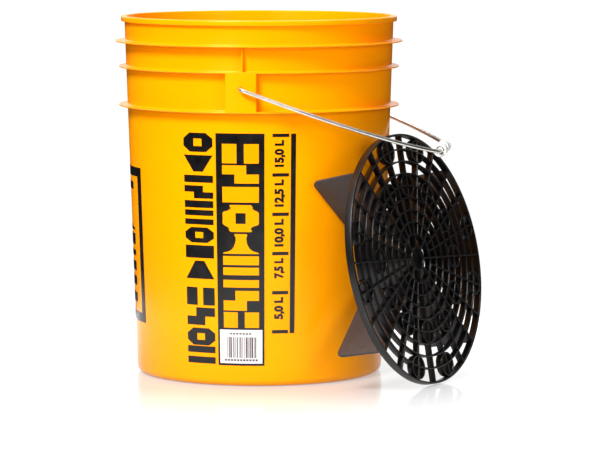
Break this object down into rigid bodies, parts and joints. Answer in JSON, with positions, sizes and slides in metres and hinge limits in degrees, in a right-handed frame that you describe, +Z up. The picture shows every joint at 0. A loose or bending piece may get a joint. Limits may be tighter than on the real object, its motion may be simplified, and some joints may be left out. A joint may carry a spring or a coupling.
{
  "type": "wash bucket",
  "caption": "Tapered plastic pail with printed litre scale, wire bail with roller grip, and a round grit guard leaning beside it.",
  "frame": {"origin": "middle of the pail's underside, on the pail's axis", "axes": "+Z up along the pail's axis; +X towards the side the bail lies on; -Y towards the printed face, with the ears turned 6.6 degrees from the Y axis"},
  "size_m": [0.3967, 0.3753, 0.385],
  "materials": {
    "pail_plastic": "glossy deep yellow moulding",
    "galvanised_wire": "bright zinc-coated steel wire",
    "grip_plastic": "natural white moulding",
    "guard_plastic": "black moulding, satin",
    "black_ink": "black screen print",
    "label_paper": "white paper label"
  },
  "bodies": {
    "pail": {"pail_shell": "pail_plastic", "word_strip_print": "black_ink", "panel_print": "black_ink", "litre_scale_print": "black_ink", "side_frame_print": "black_ink", "paper_label": "label_paper"},
    "bail": {"bail_wire": "galvanised_wire"},
    "grip": {"bail_grip": "grip_plastic"},
    "guard": {"guard_grille": "guard_plastic", "guard_vanes": "guard_plastic"}
  },
  "joints": [
    {"name": "bail_swing", "type": "hinge", "parent": "pail", "child": "bail", "pos_m": [0, 0, 0.3142], "axis": [-0.1149, -0.9934, 0], "range_deg": [0, 245]},
    {"name": "grip_roll", "type": "hinge", "parent": "bail", "child": "grip", "pos_m": [0.19736, -0.02284, 0.24314], "axis": [-0.1149, -0.9934, 0], "continuous": true},
    {"name": "guard_aside", "type": "hinge", "parent": "pail", "child": "guard", "pos_m": [-0.15, 0.045, 0], "axis": [0, 0, -1], "range_deg": [0, 90]}
  ]
}
